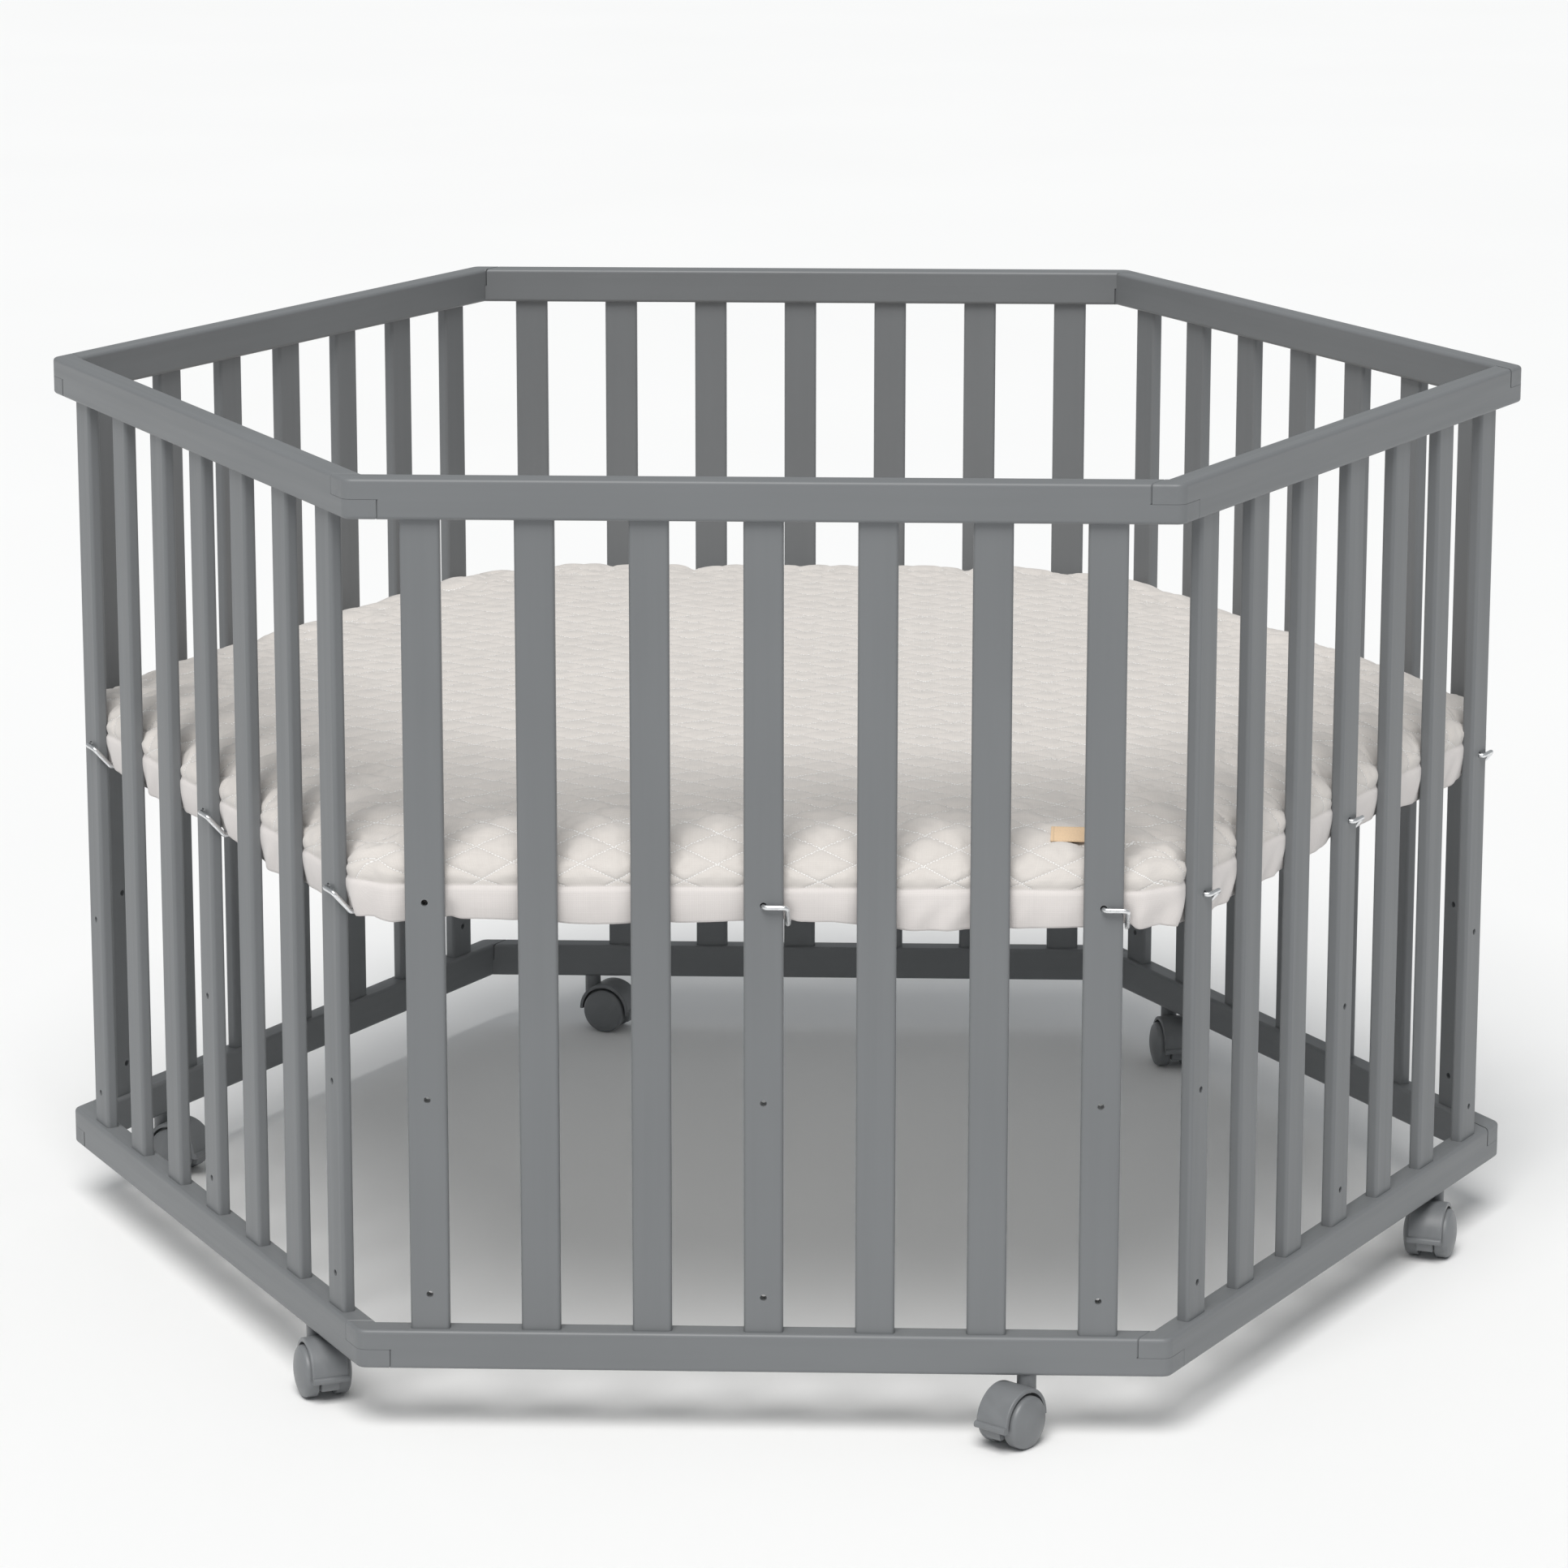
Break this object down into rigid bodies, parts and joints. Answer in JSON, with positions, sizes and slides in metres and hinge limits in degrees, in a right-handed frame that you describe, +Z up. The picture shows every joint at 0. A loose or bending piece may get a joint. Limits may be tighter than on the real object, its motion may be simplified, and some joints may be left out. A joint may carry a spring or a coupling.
{
  "type": "playpen",
  "caption": "Six-sided slatted playpen of painted wood with a hook-hung raised floor, a quilted mat and twin-wheel swivel castors under the bottom rails.",
  "frame": {"origin": "on the ground under the middle of the six-sided frame", "axes": "+Z up, -Y out of the front side, +X to the right seen from the front"},
  "size_m": [1.1972, 1.0803, 0.723],
  "materials": {
    "painted_wood": "satin grey paint",
    "zinc_wire": "bright zinc plate",
    "castor_plastic": "moulded grey",
    "castor_steel": "plain",
    "bolt_steel": "zinc plate",
    "insert_brass": "plain",
    "floor_panel": "white faced fibreboard with a raw brown edge",
    "joiner_profile": "plain",
    "mat_linen": "quilted slubby linen weave",
    "label_cloth": "woven tan"
  },
  "bodies": {
    "frame": {"top_rail_front": "painted_wood", "bottom_rail_front": "painted_wood", "slats_front": "painted_wood", "top_rail_front_right": "painted_wood", "bottom_rail_front_right": "painted_wood", "slats_front_right": "painted_wood", "top_rail_back_right": "painted_wood", "bottom_rail_back_right": "painted_wood", "slats_back_right": "painted_wood", "top_rail_back": "painted_wood", "bottom_rail_back": "painted_wood", "slats_back": "painted_wood", "top_rail_back_left": "painted_wood", "bottom_rail_back_left": "painted_wood", "slats_back_left": "painted_wood", "top_rail_front_left": "painted_wood", "bottom_rail_front_left": "painted_wood", "slats_front_left": "painted_wood", "castor_pins": "castor_steel", "castor_sleeves": "castor_steel", "corner_bolts": "bolt_steel", "corner_inserts": "insert_brass"},
    "floor": {"floor_board_left": "floor_panel", "floor_board_right": "floor_panel", "floor_joiner": "joiner_profile", "mat": "mat_linen", "mat_label": "label_cloth"},
    "hooks_front": {"hooks_front": "zinc_wire"},
    "hooks_front_right": {"hooks_front_right": "zinc_wire"},
    "hooks_back_right": {"hooks_back_right": "zinc_wire"},
    "hooks_back": {"hooks_back": "zinc_wire"},
    "hooks_back_left": {"hooks_back_left": "zinc_wire"},
    "hooks_front_left": {"hooks_front_left": "zinc_wire"},
    "castor_front": {"castor_hood_front": "castor_plastic", "castor_axle_front": "castor_steel"},
    "wheel_left_front": {"castor_wheel_left_front": "castor_plastic"},
    "wheel_right_front": {"castor_wheel_right_front": "castor_plastic"},
    "castor_front_right": {"castor_hood_front_right": "castor_plastic", "castor_axle_front_right": "castor_steel"},
    "wheel_left_front_right": {"castor_wheel_left_front_right": "castor_plastic"},
    "wheel_right_front_right": {"castor_wheel_right_front_right": "castor_plastic"},
    "castor_back_right": {"castor_hood_back_right": "castor_plastic", "castor_axle_back_right": "castor_steel"},
    "wheel_left_back_right": {"castor_wheel_left_back_right": "castor_plastic"},
    "wheel_right_back_right": {"castor_wheel_right_back_right": "castor_plastic"},
    "castor_back": {"castor_hood_back": "castor_plastic", "castor_axle_back": "castor_steel"},
    "wheel_left_back": {"castor_wheel_left_back": "castor_plastic"},
    "wheel_right_back": {"castor_wheel_right_back": "castor_plastic"},
    "castor_back_left": {"castor_hood_back_left": "castor_plastic", "castor_axle_back_left": "castor_steel"},
    "wheel_left_back_left": {"castor_wheel_left_back_left": "castor_plastic"},
    "wheel_right_back_left": {"castor_wheel_right_back_left": "castor_plastic"},
    "castor_front_left": {"castor_hood_front_left": "castor_plastic", "castor_axle_front_left": "castor_steel"},
    "wheel_left_front_left": {"castor_wheel_left_front_left": "castor_plastic"},
    "wheel_right_front_left": {"castor_wheel_right_front_left": "castor_plastic"}
  },
  "joints": [
    {"name": "floor_lift", "type": "slide", "parent": "frame", "child": "floor", "axis": [0, 0, 1], "range_m": [0, 0.235]},
    {"name": "hooks_front_pull", "type": "slide", "parent": "frame", "child": "hooks_front", "axis": [0, -1, 0], "range_m": [0, 0.05]},
    {"name": "hooks_front_right_pull", "type": "slide", "parent": "frame", "child": "hooks_front_right", "axis": [0.866, -0.5, 0], "range_m": [0, 0.05]},
    {"name": "hooks_back_right_pull", "type": "slide", "parent": "frame", "child": "hooks_back_right", "axis": [0.866, 0.5, 0], "range_m": [0, 0.05]},
    {"name": "hooks_back_pull", "type": "slide", "parent": "frame", "child": "hooks_back", "axis": [0, 1, 0], "range_m": [0, 0.05]},
    {"name": "hooks_back_left_pull", "type": "slide", "parent": "frame", "child": "hooks_back_left", "axis": [-0.866, 0.5, 0], "range_m": [0, 0.05]},
    {"name": "hooks_front_left_pull", "type": "slide", "parent": "frame", "child": "hooks_front_left", "axis": [-0.866, -0.5, 0], "range_m": [0, 0.05]},
    {"name": "castor_front_swivel", "type": "hinge", "parent": "frame", "child": "castor_front", "pos_m": [0.195, -0.50962, 0.03], "axis": [0, 0, 1], "continuous": true},
    {"name": "wheel_left_front_spin", "type": "hinge", "parent": "castor_front", "child": "wheel_left_front", "pos_m": [0.18392, -0.5238, 0.02], "axis": [0.788, -0.6157, 0], "continuous": true},
    {"name": "wheel_right_front_spin", "type": "hinge", "parent": "castor_front", "child": "wheel_right_front", "pos_m": [0.18392, -0.5238, 0.02], "axis": [0.788, -0.6157, 0], "continuous": true},
    {"name": "castor_front_right_swivel", "type": "hinge", "parent": "frame", "child": "castor_front_right", "pos_m": [0.53884, -0.08593, 0.03], "axis": [0, 0, 1], "continuous": true},
    {"name": "wheel_left_front_right_spin", "type": "hinge", "parent": "castor_front_right", "child": "wheel_left_front_right", "pos_m": [0.53358, -0.10315, 0.02], "axis": [0.9563, -0.2924, 0], "continuous": true},
    {"name": "wheel_right_front_right_spin", "type": "hinge", "parent": "castor_front_right", "child": "wheel_right_front_right", "pos_m": [0.53358, -0.10315, 0.02], "axis": [0.9563, -0.2924, 0], "continuous": true},
    {"name": "castor_back_right_swivel", "type": "hinge", "parent": "frame", "child": "castor_back_right", "pos_m": [0.34384, 0.42368, 0.03], "axis": [0, 0, 1], "continuous": true},
    {"name": "wheel_left_back_right_spin", "type": "hinge", "parent": "castor_back_right", "child": "wheel_left_back_right", "pos_m": [0.34758, 0.40608, 0.02], "axis": [0.9781, 0.2079, 0], "continuous": true},
    {"name": "wheel_right_back_right_spin", "type": "hinge", "parent": "castor_back_right", "child": "wheel_right_back_right", "pos_m": [0.34758, 0.40608, 0.02], "axis": [0.9781, 0.2079, 0], "continuous": true},
    {"name": "castor_back_swivel", "type": "hinge", "parent": "frame", "child": "castor_back", "pos_m": [-0.195, 0.50962, 0.03], "axis": [0, 0, 1], "continuous": true},
    {"name": "wheel_left_back_spin", "type": "hinge", "parent": "castor_back", "child": "wheel_left_back", "pos_m": [-0.17843, 0.50258, 0.02], "axis": [0.3907, 0.9205, 0], "continuous": true},
    {"name": "wheel_right_back_spin", "type": "hinge", "parent": "castor_back", "child": "wheel_right_back", "pos_m": [-0.17843, 0.50258, 0.02], "axis": [0.3907, 0.9205, 0], "continuous": true},
    {"name": "castor_back_left_swivel", "type": "hinge", "parent": "frame", "child": "castor_back_left", "pos_m": [-0.53884, 0.08593, 0.03], "axis": [0, 0, 1], "continuous": true},
    {"name": "wheel_left_back_left_spin", "type": "hinge", "parent": "castor_back_left", "child": "wheel_left_back_left", "pos_m": [-0.52295, 0.07748, 0.02], "axis": [0.4695, 0.8829, 0], "continuous": true},
    {"name": "wheel_right_back_left_spin", "type": "hinge", "parent": "castor_back_left", "child": "wheel_right_back_left", "pos_m": [-0.52295, 0.07748, 0.02], "axis": [0.4695, 0.8829, 0], "continuous": true},
    {"name": "castor_front_left_swivel", "type": "hinge", "parent": "frame", "child": "castor_front_left", "pos_m": [-0.34384, -0.42368, 0.03], "axis": [0, 0, 1], "continuous": true},
    {"name": "wheel_left_front_left_spin", "type": "hinge", "parent": "castor_front_left", "child": "wheel_left_front_left", "pos_m": [-0.3371, -0.44037, 0.02], "axis": [0.9272, 0.3746, 0], "continuous": true},
    {"name": "wheel_right_front_left_spin", "type": "hinge", "parent": "castor_front_left", "child": "wheel_right_front_left", "pos_m": [-0.3371, -0.44037, 0.02], "axis": [0.9272, 0.3746, 0], "continuous": true}
  ]
}
